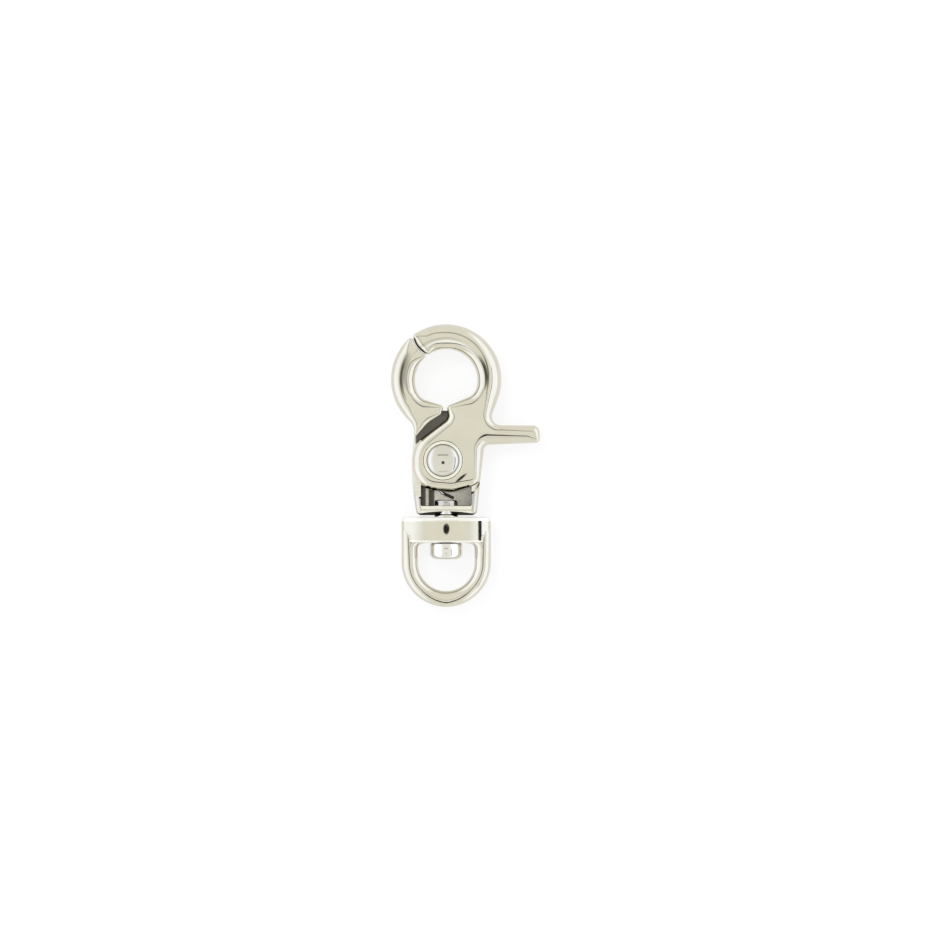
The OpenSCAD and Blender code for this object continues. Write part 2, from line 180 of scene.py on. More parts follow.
def round_up(z, h):
    """Rows of a rounding that rises from level z to full width, h tall."""
    return [(1 - math.sin(t), z + h * (1 - math.cos(t))) for t in quarter(ROUND_STEPS)]


def round_over(z, h):
    """Rows of a rounding from full width up to level z, h tall."""
    return [(1 - math.cos(t), z - h + h * math.sin(t)) for t in quarter(ROUND_STEPS)]


# ---- meshes ----

def flat_on_back(p):
    """A point of the drawing, in the row frame and in metres."""
    return ((p[0] - ORIGIN[0]) * MM, (p[1] - ORIGIN[1]) * MM, p[2] * MM)


def along_swivel(p):
    """A point measured along the swivel axis: (across, height over the axis, level below the ring centre)."""
    return flat_on_back((p[0], -p[2], SWIVEL_Z + p[1]))


def new_object(name, points, faces, finish, place=flat_on_back, edges=None, bright=None):
    """edges gives each point's share of the painted dark reflection line along a polished edge, and bright that of
    the painted highlight on a rim.
    """
    mesh = bpy.data.meshes.new(name)
    mesh.from_pydata([place(p) for p in points], [], faces)
    if edges:
        layer = mesh.uv_layers.new(name="edge")
        for loop in mesh.loops:
            layer.uv[loop.index].vector = (edges[loop.vertex_index], bright[loop.vertex_index] if bright else 0.0)
    shape = bmesh.new()
    shape.from_mesh(mesh)
    bmesh.ops.recalc_face_normals(shape, faces=shape.faces)
    shape.to_mesh(mesh)
    shape.free()
    mesh.materials.append(finish)
    obj = bpy.data.objects.new(name, mesh)
    bpy.context.collection.objects.link(obj)
    return obj


def border(s, lines, spots):
    """How dark the painted reflection line is at the front face's edge, and how wide: spots are [x, y, reach,
    darkness, width].

    It is narrower at small corners, so that it never folds over."""
    dark, width = lines, LINE
    here = inset_point(s, s[4])
    for x, y, reach, spot_dark, spot_width in spots:
        share = max(0.0, 1 - math.dist(here, (x, y)) / reach)
        share = share * share * (3 - 2 * share)
        dark += (spot_dark - dark) * share
        width += (spot_width - width) * share
    width *= min(1.0, s[4])
    if s[2] > 0:
        width = min(width, 0.5 * (s[2] - s[4]))
    return dark * min(1.0, s[4]), width


def eased_rows(rows, s):
    """The rows with the front rounding no taller than a little more than its width."""
    middle, top = rows[ROUND_STEPS + 1][1], rows[-1][1]
    share = min(1.0, FULLNESS * s[4] / (top - middle))
    return [(q, z if k <= ROUND_STEPS else top - (top - z) * share) for k, (q, z) in enumerate(rows)]


def pillow(name, marks, rows, finish, place=flat_on_back, lines=0.0, spots=(), rims=0):
    """A solid with rounded edges: each row is the outline moved inwards, at its own height.

    With lines, the front face has a narrow border inside its edge, and the edge takes a painted dark reflection
    line.
    With rims, that many rows at either end take a painted highlight."""
    n = len(marks)
    own_rows = [eased_rows(rows, s) if lines else rows for s in marks]
    points = [
        (*inset_point(s, own[k][0] * s[4]), own[k][1])
        for k in range(len(rows))
        for s, own in zip(marks, own_rows)
    ]
    edges = [0.0] * len(points)
    bright = [RIM_HIGHLIGHT if 2 < min(k, len(rows) - 1 - k) < rims else 0.0 for k in range(len(rows)) for s in marks]
    if lines:
        borders = [border(s, lines, spots) for s in marks]
        edges[-n:] = [dark for dark, _ in borders]
        points += [(*inset_point(s, rows[-1][0] * s[4] + b[1]), rows[-1][1]) for s, b in zip(marks, borders)]
        edges += [0.0] * n
        bright += [0.0] * n
        rows = rows + [rows[-1]]
    faces = [
        (k * n + i, k * n + (i + 1) % n, (k + 1) * n + (i + 1) % n, (k + 1) * n + i)
        for k in range(len(rows) - 1)
        for i in range(n)
    ]
    faces.append(tuple(range(n - 1, -1, -1)))
    faces.append(tuple((len(rows) - 1) * n + i for i in range(n)))
    return new_object(name, points, faces, finish, place, edges, bright)


def lathe(name, profile, centre, finish, place=flat_on_back, sides=128):
    """A turned solid: profile is [(radius, height)], from the axis back to the axis."""
    rings = profile[1:-1]
    points = [(centre[0], centre[1], profile[0][1])]
    for r, z in rings:
        for i in range(sides):
            a = math.tau * i / sides
            points.append((centre[0] + r * math.cos(a), centre[1] + r * math.sin(a), z))
    points.append((centre[0], centre[1], profile[-1][1]))
    top = len(points) - 1
    faces = []
    for i in range(sides):
        j = (i + 1) % sides
        faces.append((0, 1 + j, 1 + i))
        for k in range(len(rings) - 1):
            a = 1 + k * sides
            faces.append((a + i, a + j, a + sides + j, a + sides + i))
        last = 1 + (len(rings) - 1) * sides
        faces.append((last + i, last + j, top))
    return new_object(name, points, faces, finish, place)


def cylinder(name, r, low, high, centre, finish, place=flat_on_back):
    """A plain round bar between two levels."""
    return lathe(name, [(0, low), (r, low), (r, high), (0, high)], centre, finish, place)


def block(name, low, high, finish):
    """A plain box between two corners."""
    x0, y0, z0 = low
    x1, y1, z1 = high
    points = [(x, y, z) for z in (z0, z1) for x, y in ((x0, y0), (x1, y0), (x1, y1), (x0, y1))]
    faces = [(3, 2, 1, 0), (4, 5, 6, 7), (0, 1, 5, 4), (1, 2, 6, 5), (2, 3, 7, 6), (3, 0, 4, 7)]
    return new_object(name, points, faces, finish)


def combine(obj, others, operation):
    """The others are cut from obj or joined to it."""
    for other in others:
        step = obj.modifiers.new(operation, "BOOLEAN")
        step.operation = operation
        step.solver = "EXACT"
        step.material_mode = "TRANSFER"
        step.object = other
    bpy.context.view_layer.update()
    made = bpy.data.meshes.new_from_object(obj.evaluated_get(bpy.context.evaluated_depsgraph_get()))
    obj.modifiers.clear()
    obj.data = made
    for other in others:
        bpy.data.objects.remove(other)


def finish_piece(obj, body, node):
    """Smooth shading with crisp cut edges, and the piece's place in the frame."""
    obj.data.shade_smooth()
    obj.data.set_sharp_from_angle(angle=math.radians(33))
    even = obj.modifiers.new("even_normals", "WEIGHTED_NORMAL")
    even.keep_sharp = True
    even.weight = 90
    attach(obj, body)
    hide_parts(node)


# ---- finishes ----

# how fine the patterns are, and the colours painted in for shade and dark reflections and for highlights
TARNISH_SCALE = 160
POLISH_SCALE = 420
WAVE_SCALE = 190
SCRATCH_SCALE = 2600
PAINTED_DARK = (0.045, 0.040, 0.034)
PAINTED_HIGHLIGHT = (0.97, 0.965, 0.945)


def new_finish(name):
    """A material with its shader, and the coordinates that its patterns follow."""
    material = bpy.data.materials.new(name)
    material.use_nodes = True
    tree = material.node_tree
    tree.nodes.clear()
    shader = tree.nodes.new("ShaderNodeBsdfPrincipled")
    output = tree.nodes.new("ShaderNodeOutputMaterial")
    tree.links.new(shader.outputs["BSDF"], output.inputs["Surface"])
    place = tree.nodes.new("ShaderNodeTexCoord")
    return material, tree, shader, place


def noise(tree, place, scale, detail=3.0, stretch=None):
    """An uneven pattern, finer where stretch is larger."""
    texture = tree.nodes.new("ShaderNodeTexNoise")
    texture.inputs["Scale"].default_value = scale
    texture.inputs["Detail"].default_value = detail
    source = place.outputs["Object"]
    if stretch:
        mapping = tree.nodes.new("ShaderNodeMapping")
        mapping.inputs["Scale"].default_value = stretch
        tree.links.new(source, mapping.inputs["Vector"])
        source = mapping.outputs["Vector"]
    tree.links.new(source, texture.inputs["Vector"])
    return texture.outputs["Fac"]


def ramp(tree, factor, low, high, start=0.35, end=0.65):
    """A colour that changes from low to high while the factor goes from start to end."""
    node = tree.nodes.new("ShaderNodeValToRGB")
    node.color_ramp.elements[0].position = start
    node.color_ramp.elements[1].position = end
    node.color_ramp.elements[0].color = (*low, 1)
    node.color_ramp.elements[1].color = (*high, 1)
    tree.links.new(factor, node.inputs["Fac"])
    return node.outputs["Color"]


def blend_colours(tree, factor, first, second):
    """The first colour, with a share of the second, which is a plain value."""
    node = tree.nodes.new("ShaderNodeMix")
    node.data_type = "RGBA"
    tree.links.new(factor, node.inputs["Factor"])
    tree.links.new(first, node.inputs["A"])
    node.inputs["B"].default_value = (*second, 1)
    return node.outputs["Result"]


def spread(tree, factor, low, high, start=0.3, end=0.7):
    """A value that changes from low to high while the factor goes from start to end."""
    node = tree.nodes.new("ShaderNodeMapRange")
    node.inputs["From Min"].default_value = start
    node.inputs["From Max"].default_value = end
    node.inputs["To Min"].default_value = low
    node.inputs["To Max"].default_value = high
    tree.links.new(factor, node.inputs["Value"])
    return node.outputs["Result"]


def bump(tree, height, distance, under=None):
    """Fine relief, on top of the relief under it."""
    node = tree.nodes.new("ShaderNodeBump")
    node.inputs["Strength"].default_value = 1.0
    node.inputs["Distance"].default_value = distance
    tree.links.new(height, node.inputs["Height"])
    if under:
        tree.links.new(under, node.inputs["Normal"])
    return node.outputs["Normal"]


def banded(tree, place, axis, bands):
    """A share that changes along X, Y or Z: bands are [(coordinate of the drawing, share)]."""
    split = tree.nodes.new("ShaderNodeSeparateXYZ")
    tree.links.new(place.outputs["Object"], split.inputs["Vector"])
    origin = (*ORIGIN, 0.0)["XYZ".index(axis)]
    first, last = bands[0][0], bands[-1][0]
    along = spread(tree, split.outputs[axis], 0.0, 1.0, (first - origin) * MM, (last - origin) * MM)
    node = tree.nodes.new("ShaderNodeValToRGB")
    stops = node.color_ramp.elements
    while len(stops) < len(bands):
        stops.new(0.5)
    for stop, (at, share) in zip(stops, bands):
        stop.position = (at - first) / (last - first)
        stop.color = (share, share, share, 1)
    tree.links.new(along, node.inputs["Fac"])
    return node.outputs["Color"]


def stroke(tree, place, at, degrees, length, width):
    """A soft narrow painted dark reflection on the lever's front face."""
    near = tree.nodes.new("ShaderNodeMapping")
    near.vector_type = "TEXTURE"
    near.inputs["Location"].default_value = flat_on_back((*at, FRONT_Z))
    near.inputs["Rotation"].default_value = (0, 0, math.radians(degrees))
    near.inputs["Scale"].default_value = (length * MM, width * MM, 0.6 * MM)
    tree.links.new(place.outputs["Object"], near.inputs["Vector"])
    size = tree.nodes.new("ShaderNodeVectorMath")
    size.operation = "LENGTH"
    tree.links.new(near.outputs["Vector"], size.inputs[0])
    return spread(tree, size.outputs["Value"], 1.0, 0.0, 0.55, 1.0)


def product(tree, factors):
    """The product of several shares."""
    whole = factors[0]
    for factor in factors[1:]:
        node = tree.nodes.new("ShaderNodeMath")
        node.operation = "MULTIPLY"
        tree.links.new(whole, node.inputs[0])
        tree.links.new(factor, node.inputs[1])
        whole = node.outputs["Value"]
    return whole


def crescent(tree, place, inner, outer, degrees, half, share):
    """A soft band of painted reflection on the ring's front face, dark or light by its colour, between two radii,
    round one direction.
    """
    def vector(operation, first, second=None):
        node = tree.nodes.new("ShaderNodeVectorMath")
        node.operation = operation
        tree.links.new(first, node.inputs[0])
        if second:
            node.inputs[1].default_value = second
        return node.outputs["Value" if operation in ("LENGTH", "DOT_PRODUCT") else "Vector"]

    centred = vector("ADD", place.outputs["Object"], (ORIGIN[0] * MM, ORIGIN[1] * MM, 0))
    flat = vector("MULTIPLY", centred, (1 / MM, 1 / MM, 0))
    radius = vector("LENGTH", flat)
    soft = 0.2
    a = math.radians(degrees)
    towards = vector("DOT_PRODUCT", vector("NORMALIZE", flat), (math.cos(a), math.sin(a), 0))
    return product(tree, [
        spread(tree, radius, 0.0, share, inner, inner + soft),
        spread(tree, radius, 1.0, 0.0, outer - soft, outer),
        spread(tree, towards, 0.0, 1.0, math.cos(math.radians(half)), math.cos(math.radians(0.3 * half))),
    ])


def metal(
    name, dark, light, rough, wave, grain,
    stretch=(1, 1, 1), reach=0.9, shade=(0.05, 0.45), deep=1.0, bands=(), front=False,
):
    """Polished metal: faint tarnish in the colour, uneven polish, the wave of a casting and fine scratches.

    Painted shade darkens corners closer than reach, by the shares of open sky in shade."""
    material, tree, shader, place = new_finish(name)
    shader.inputs["Metallic"].default_value = 1.0
    clean = ramp(tree, noise(tree, place, TARNISH_SCALE), dark, light)
    # the edge map paints dark reflection lines along front edges (X) and highlights on rims (Y)
    edge = tree.nodes.new("ShaderNodeUVMap")
    edge.uv_map = "edge"
    share = tree.nodes.new("ShaderNodeSeparateXYZ")
    tree.links.new(edge.outputs["UV"], share.inputs["Vector"])
    lined = blend_colours(tree, share.outputs["X"], clean, PAINTED_DARK)
    lined = blend_colours(tree, share.outputs["Y"], lined, PAINTED_HIGHLIGHT)
    # the ring and lever's front faces take painted dark reflections and a painted highlight
    if front:
        for mark in FRONT_STROKES:
            lined = blend_colours(tree, stroke(tree, place, *mark), lined, PAINTED_DARK)
        for colour, *mark in FRONT_CRESCENTS:
            lined = blend_colours(tree, crescent(tree, place, *mark), lined, colour)
    # bands paint shade where they all overlap
    if bands:
        lined = blend_colours(tree, product(tree, [banded(tree, place, *band) for band in bands]), lined, PAINTED_DARK)
    # painted shade: corners closer than reach are darkened towards the dark paint
    open_sky = tree.nodes.new("ShaderNodeAmbientOcclusion")
    open_sky.samples = 8
    open_sky.inputs["Distance"].default_value = reach * MM
    closed = spread(tree, open_sky.outputs["AO"], deep, 0.0, *shade)
    tree.links.new(blend_colours(tree, closed, lined, PAINTED_DARK), shader.inputs["Base Color"])
    tree.links.new(spread(tree, noise(tree, place, POLISH_SCALE, 5.0), *rough), shader.inputs["Roughness"])
    cast = bump(tree, noise(tree, place, WAVE_SCALE, 1.5), wave * MM)
    fine = bump(tree, noise(tree, place, SCRATCH_SCALE, 4.0, stretch), grain * MM, under=cast)
    tree.links.new(fine, shader.inputs["Normal"])
    return material


# painted marks on the front faces: dark reflection strokes [centre, angle, half length, half width], and
# painted dark reflections and highlights [colour, inner radius, outer radius, direction, half of its angle, share]
FRONT_STROKES = [((3.33, -22.16), 39, 1.95, 0.4)]
FRONT_CRESCENTS = [
    (PAINTED_DARK, 9.7, 10.45, 175, 34, 0.88),
    (PAINTED_DARK, 9.05, 9.9, 170, 26, 0.5),
    (PAINTED_DARK, 8.65, 9.5, 11, 27, 0.92),
    (PAINTED_DARK, 8.9, 9.6, 108, 46, 0.22),
    (PAINTED_HIGHLIGHT, 8.2, 8.95, 80, 52, 0.65),
]
# where painted shade darkens a finish: [axis, [(coordinate, share)]], and several of them limit each other
# painted shade on the housing's rounded sides
HOUSING_SIDE_SHADE = [("X", [(-7.6, 0.34), (-5.85, 0.34), (-5.6, 0.0), (5.6, 0.0), (5.85, 0.34), (7.6, 0.34)])]
# painted shade on the step under the slot between jaw and lever
STEP_SHADE_UNDER_SLOT = [
    ("Y", [(-14.8, 0.0), (-14.2, 0.93), (-8.5, 0.92), (-6.5, 1.0)]),
    ("X", [(-7.1, 0.0), (-6.7, 1.0), (0.0, 1.0)]),
]
# painted shade across the pocket floor, darkest on the left, with a narrow gap that paints a light streak
POCKET_LEFT_SHADE = [("X", [
    (-5.8, 0.97), (-4.75, 0.9), (-4.5, 0.1), (-4.1, 0.1), (-3.85, 0.97), (-2.8, 0.9),
    (-2.5, 0.0), (1.5, 0.15), (5.8, 0.55),
])]
# painted shade on the pin's upset end in the pocket, under the lever
PIN_END_SHADE = [("Y", [(-28.7, 0.0), (-28.4, 0.34), (-26.0, 0.34)])]
# painted shade round the rivet head's rim, low in its recess
RIVET_RIM_SHADE = [("Z", [(6.3, 0.9), (6.6, 0.8), (6.9, 0.0), (7.4, 0.0)])]
# painted shade on the spring wire right of x -0.35 mm, which takes in its lower leg in the pocket
LOWER_LEG_SHADE = [("X", [(-0.75, 0.0), (-0.35, 0.97), (4.0, 0.97)])]

# its front faces take the painted dark reflection strokes and crescents
POLISHED = metal(
    "polished_nickel", (0.655, 0.627, 0.525), (0.685, 0.658, 0.56), rough=(0.03, 0.07), wave=0.006, grain=0.0006,
    stretch=(1, 6, 1), front=True,
)
# painted light: a copy of the nickel with a brighter base colour, for the housing and the rivet's recess
HOUSING = metal(
    "housing_nickel", (0.84, 0.82, 0.71), (0.91, 0.89, 0.79), rough=(0.04, 0.08), wave=0.006, grain=0.0006,
    stretch=(1, 6, 1), bands=HOUSING_SIDE_SHADE,
)
# painted light and shade: a brighter copy of the nickel for the cut steps, darkened under the slot
STEP = metal(
    "step_nickel", (0.80, 0.78, 0.71), (0.88, 0.86, 0.80), rough=(0.06, 0.12), wave=0.006, grain=0.002,
    deep=0.2, bands=STEP_SHADE_UNDER_SLOT,
)
# as-cast roughness and relief, with a near-black base colour that paints shade into the arch, the nest, the bores
# and the lever's lap
AS_CAST_SHADED = metal(
    "as_cast_nickel_painted_shade", (0.17, 0.155, 0.14), (0.27, 0.25, 0.225), rough=(0.24, 0.40), wave=0.05, grain=0.012,
    reach=3.0, shade=(0.1, 0.9),
)
POCKET = metal(
    "pocket_nickel", (0.60, 0.58, 0.52), (0.72, 0.70, 0.64), rough=(0.16, 0.30), wave=0.03, grain=0.008,
    reach=1.2, shade=(0.0, 0.45), deep=0.8, bands=POCKET_LEFT_SHADE,
)
TURNED = metal(
    "turned_nickel", (0.72, 0.70, 0.645), (0.78, 0.76, 0.71), rough=(0.05, 0.10), wave=0.010, grain=0.0008,
    stretch=(8, 8, 1), bands=PIN_END_SHADE,
)
RIVET = metal(
    "rivet_nickel", (0.655, 0.635, 0.57), (0.70, 0.68, 0.62), rough=(0.05, 0.10), wave=0.010, grain=0.0008,
    stretch=(8, 8, 1), bands=RIVET_RIM_SHADE,
)
WIRE = metal(
    "spring_wire", (0.62, 0.60, 0.55), (0.74, 0.72, 0.67), rough=(0.16, 0.28), wave=0.004, grain=0.004,
    stretch=(1, 1, 9), bands=LOWER_LEG_SHADE,
)


# ---- hook body ----

JOINT_MID = polar((0, 0), (RING_R + HOLE_R) / 2, JOINT_ANGLE)
JOINT_C = polar(JOINT_MID, JOINT_R - JOINT_BOW, JOINT_ANGLE - 90)
JAW_ROWS = round_up(RING_LIFT, JAW_H) + round_over(FRONT_Z, JAW_H)


def jaw_belt():
    """The fixed jaw: round the ring, down the neck, up the slot to the lip, round the hole and the joint end."""
    joint_r, inner_corner = JOINT_R + JOINT_GAP, 0.5
    outer_end = meet((0, 0), RING_R - JOINT_CORNER, JOINT_C, joint_r + JOINT_CORNER)
    inner_end = meet(HOLE_C, HOLE_R + inner_corner, JOINT_C, joint_r + inner_corner)
    neck_x, neck_r = -10.86, 3.7
    return [
        (0, 0, RING_R, 2.05),
        (neck_x, -math.sqrt((RING_R + neck_r) ** 2 - neck_x ** 2), -neck_r, 2.05),
        (-6.81, -12.3, 0.35, 0.3),
        (2.35, -17.15, -9.6, 1.0),
        (-LIP_GAP - 1.05, -7.6, 0.42, 0.4),
        (-LIP_GAP - 0.23 - LIP_CORNER, -LIP_LEVEL - LIP_CORNER, LIP_CORNER, 0.65),
        arc(polar(HOLE_C, HOLE_R - FIXED_LIP_R, 203), -FIXED_LIP_R, 1.6),
        arc(HOLE_C, -HOLE_R, HOLE_ROUND),
        arc(inner_end, inner_corner, 0.45),
        arc(JOINT_C, -joint_r, 0.45),
        arc(outer_end, JOINT_CORNER, 0.63),
    ]


# darker and wider parts of the painted dark reflection line round the front faces: [x, y, reach, darkness, width];
# pins narrow the rounding near a point: [x, y, width there, widening a millimetre]
JAW_SPOTS = [
    (-10.3, 0.9, 5.5, 1.0, 0.36), (-8.9, 0.9, 5.0, 0.55, 0.36),
    (-9.0, 9.0, 2.5, 0.3, LINE), (-9.0, -9.0, 4.5, 0.25, LINE),
    (-4.5, -6.0, 4.5, 1.0, 0.22),
]
JAW_PINS = [(-8.6, 8.9, 0.6, 0.55), (-4.9, 4.9, 0.44, 0.6), (-0.75, -6.15, 0.5, 0.42), (-7.16, -12.6, 0.3, 0.3)]


def housing_belt():
    """The housing: its bowed sides and flat underside, and the tongue round the pivot."""
    left_r, right_r, corner, tongue_round = 45, 60, 1.3, 0.8
    return [
        (left_r - WAIST, -20.2, left_r, 1.25),
        (-5.55, corner - HOUSING_FOOT, corner, 1.2),
        (5.7, corner - HOUSING_FOOT, corner, 1.2),
        (WAIST - 0.05 - right_r, -20, right_r, 1.25),
        arc(polar(PIVOT, TONGUE_R - 1, 44), 1, tongue_round),
        arc(PIVOT, TONGUE_R, tongue_round),
        arc(polar(PIVOT, TONGUE_R - 1.5, 120), 1.5, tongue_round),
    ]


def pocket_cutter():
    """The open pocket, with a rounded floor edge and a softened rim."""
    half, lean, top, corner, width = 5.75, 0.1, 21.2, 0.3, 0.25
    marks = stations([
        (corner - half, -top - corner, corner, width),
        (corner - half + lean, corner - POCKET_FOOT, corner, width),
        (half - lean - corner, corner - POCKET_FOOT, corner, width),
        (half - corner, -top - corner, corner, width),
    ])
    rows = [
        (1, POCKET_FLOOR), (0.3, POCKET_FLOOR + 0.08), (0, POCKET_FLOOR + 0.25),
        (0, HOUSING_Z - 0.12), (-0.2, HOUSING_Z - 0.04), (-0.5, HOUSING_Z + 0.02), (-0.5, ABOVE),
    ]
    return pillow("pocket_cut", marks, rows, POCKET)


def make_body():
    """The fixed jaw joined to the housing, with the room that the other pieces need cut out."""
    jaw = pillow("hook_body", stations(jaw_belt(), JAW_PINS), JAW_ROWS, POLISHED, lines=0.6, spots=JAW_SPOTS)
    edge = 1.3
    housing_rows = round_up(0, edge) + round_over(HOUSING_Z, edge)
    housing = pillow("housing", stations(housing_belt()), housing_rows, HOUSING, lines=0.5)
    clear = STEP_Z + 4
    sweep = lathe("sweep_cut", [(0, STEP_Z), (SWEEP_R, STEP_Z), (SWEEP_R + 0.9, clear), (0, clear)], PIVOT, STEP)
    above = block("above_cut", (-20, PIVOT[1] - 4, STEP_Z), (20, PIVOT[1] + 17, clear), STEP)
    lip_r = ARCH_R - 0.12
    arch = lathe("arch_cut", [
        (0, LEDGE_Z), (ARCH_R, LEDGE_Z), (ARCH_R, HOUSING_Z - 0.2), (lip_r, HOUSING_Z), (lip_r, ABOVE), (0, ABOVE),
    ], (0, -ARCH_TOP - ARCH_R), AS_CAST_SHADED, sides=720)
    nest = cylinder("nest_cut", 3.0, ARCH_TOP + 0.5, ARCH_TOP + 2.5, (0, 0), AS_CAST_SHADED, along_swivel)
    combine(housing, [sweep, above, arch, nest], "DIFFERENCE")
    combine(jaw, [housing], "UNION")
    coil = cylinder("coil_cut", 3.7, COIL_FLOOR, ABOVE, PIVOT, POCKET)
    tail = cylinder("tail_cut", TAIL_R + 0.05, BELOW, TAIL_H, PIVOT, POLISHED)
    shank = cylinder("shank_cut", SHANK_R, BELOW, 6, PIVOT, AS_CAST_SHADED)
    pin = cylinder("pin_cut", PIN_R, POCKET_FOOT - 1, POCKET_FOOT + 3, (0, 0), AS_CAST_SHADED, along_swivel)
    combine(jaw, [pocket_cutter(), coil, tail, shank, pin], "DIFFERENCE")
    finish_piece(jaw, "hook_body", "body")


# ---- lever with its trigger ----

def lever_belt():
    """The lever: round the ring, the joint end, the hole and the lip, round the pivot and along the trigger."""
    outer_end = meet((0, 0), RING_R - JOINT_CORNER, JOINT_C, JOINT_R - JOINT_CORNER)
    inner_end = meet(HOLE_C, HOLE_R + JOINT_CORNER, JOINT_C, JOINT_R - JOINT_CORNER)
    plate_round, nose_low, nose_high = 1.95, 0.95, 1.65
    return [
        (0, 0, RING_R, 3.0),
        arc(outer_end, JOINT_CORNER, 0.665),
        arc(JOINT_C, JOINT_R, 1.3),
        arc(inner_end, JOINT_CORNER, 0.665),
        arc(HOLE_C, -HOLE_R, HOLE_ROUND),
        arc(polar(HOLE_C, HOLE_R - MOVING_LIP_R, -12), -MOVING_LIP_R, 1.7),
        (LIP_GAP - 0.22 + LIP_CORNER, -LIP_LEVEL - LIP_CORNER, LIP_CORNER, 0.7),
        (-1.5, -7.9, -1.75, 1.7),
        arc(PIVOT, 7.0, plate_round),
        (-1.9, -19.25, 5.8, plate_round),
        (1.0, -19.3, 6.0, plate_round),
        (5.3, -21.55, 2.5, 1.4),
        (9.8, -16.0, -1.33, 2.2),
        (18.2, -11.34, 3.0, 1.6),
        (TRIGGER_REACH - nose_low, -13.32, nose_low, 0.9),
        (TRIGGER_REACH - nose_high, -11.97, nose_high, 1.4),
        (12.3, -8.32, -2.0, 2.0),
    ]


# darker and wider parts of the painted dark reflection line round the lever's front face: [x, y, reach, darkness,
# width]
LEVER_SPOTS = [
    (9.4, 2.0, 5.0, 1.0, 0.28), (8.75, 2.0, 4.5, 1.0, 0.28),
    (0.5, 10.0, 9.0, 0.4, 0.2), (0.5, 7.9, 5.0, 0.8, 0.2),
    (8.4, -5.5, 3.0, 0.2, LINE), (4.8, -5.6, 4.0, 0.95, 0.22), (-1.5, -11.0, 4.0, 0.1, LINE),
    (11.0, -10.6, 3.5, 0.9, 0.2), (17.5, -11.2, 5.0, 0.8, 0.16), (17.5, -13.0, 5.0, 0.6, 0.16),
    (8.6, -12.9, 2.4, 1.0, 0.5), (7.0, -18.0, 4.5, 0.05, LINE), (6.0, -22.5, 4.0, 0.0, LINE),
    (1.5, -23.4, 5.0, 0.05, LINE), (-5.5, -18.5, 6.5, 0.05, LINE), (19.6, -12.6, 2.0, 0.1, 0.1),
]
LEVER_PINS = [
    (-7.2, 10.0, 0.62, 0.5), (-4.2, 5.9, 0.62, 0.5), (-3.5, 11.9, 1.8, 0.06), (0, 6.8, 1.3, 0.12),
    (0.5, -6.1, 0.66, 0.5), (9.8, -14.4, 2.0, 0.5), (12.5, -10.32, 0.95, 0.3),
]


def make_lever():
    """The moving jaw, front plate and trigger, cut back over the tongue and recessed for the rivet head."""
    marks = stations(lever_belt(), LEVER_PINS)
    lever = pillow("lever_and_trigger", marks, JAW_ROWS, POLISHED, lines=0.6, spots=LEVER_SPOTS)
    bearing, bore = STEP_Z + FACE_GAP, SHANK_R + BORE_GAP
    lap = cylinder("lap_cut", TONGUE_R + 0.3, BELOW, bearing, PIVOT, AS_CAST_SHADED)
    # the recess takes the housing finish, nickel painted brighter
    recess = lathe("recess_cut", [
        (0, bearing - 1), (bore, bearing - 1), (bore, RECESS_Z),
        (RECESS_R - 0.08, RECESS_Z), (RECESS_R, RECESS_Z + 0.08),
        (RECESS_R, FRONT_Z - 0.12), (RECESS_R + 0.05, FRONT_Z - 0.05), (RECESS_R + 0.14, FRONT_Z),
        (RECESS_R + 0.6, FRONT_Z + 0.2), (RECESS_R + 0.6, ABOVE), (0, ABOVE),
    ], PIVOT, HOUSING)
    combine(lever, [lap, recess], "DIFFERENCE")
    finish_piece(lever, "lever", "lever")


# ---- rivet, pin, spring ----

def make_rivet():
    """Upset tail, shank and domed head, from the back to the front."""
    head_z, head_r, head_h, rim_h = RECESS_Z + FACE_GAP / 2, 3.7, 1.45, 0.4
    profile = [
        (0, 0), (TAIL_R - 0.2, 0), (TAIL_R - 0.05, 0.06), (TAIL_R, 0.2), (TAIL_R, TAIL_H),
        (SHANK_R, TAIL_H), (SHANK_R, head_z),
        (head_r - 0.15, head_z), (head_r - 0.04, head_z + 0.04), (head_r, head_z + 0.15),
    ]
    dome_h = head_h - rim_h
    profile += [(head_r * math.cos(t), head_z + rim_h + dome_h * math.sin(t)) for t in quarter(40)[:-1]]
    profile.append((0, head_z + head_h))
    rivet = lathe("pivot_rivet_turned", profile, PIVOT, RIVET)
    finish_piece(rivet, "hook_body", "pivot_rivet")


def make_pin():
    """Upset end in the pocket, shank, and button head inside the eye, along the swivel axis."""
    upset, upset_r = POCKET_FOOT - 1.25, 2.6
    head, head_r, head_h, head_round = BAR_FOOT + FACE_GAP, 3.7, 3.6, 1.3
    profile = [
        (0, upset + 0.03), (upset_r - 0.5, upset), (upset_r - 0.2, upset + 0.06), (upset_r - 0.05, upset + 0.2),
        (upset_r, upset + 0.4), (upset_r, POCKET_FOOT), (PIN_R, POCKET_FOOT), (PIN_R, head),
        (head_r - 0.35, head), (head_r - 0.1, head + 0.1), (head_r, head + 0.35),
    ]
    end = head + head_h
    profile += [(head_r - head_round * (1 - math.cos(t)), end - head_round * (1 - math.sin(t))) for t in quarter(20)]
    profile += [(0.5, end), (0.4, end - 0.1), (0, end - 0.25)]
    pin = lathe("swivel_pin_turned", profile, (0, 0), TURNED, along_swivel)
    finish_piece(pin, "hook_body", "swivel_pin")


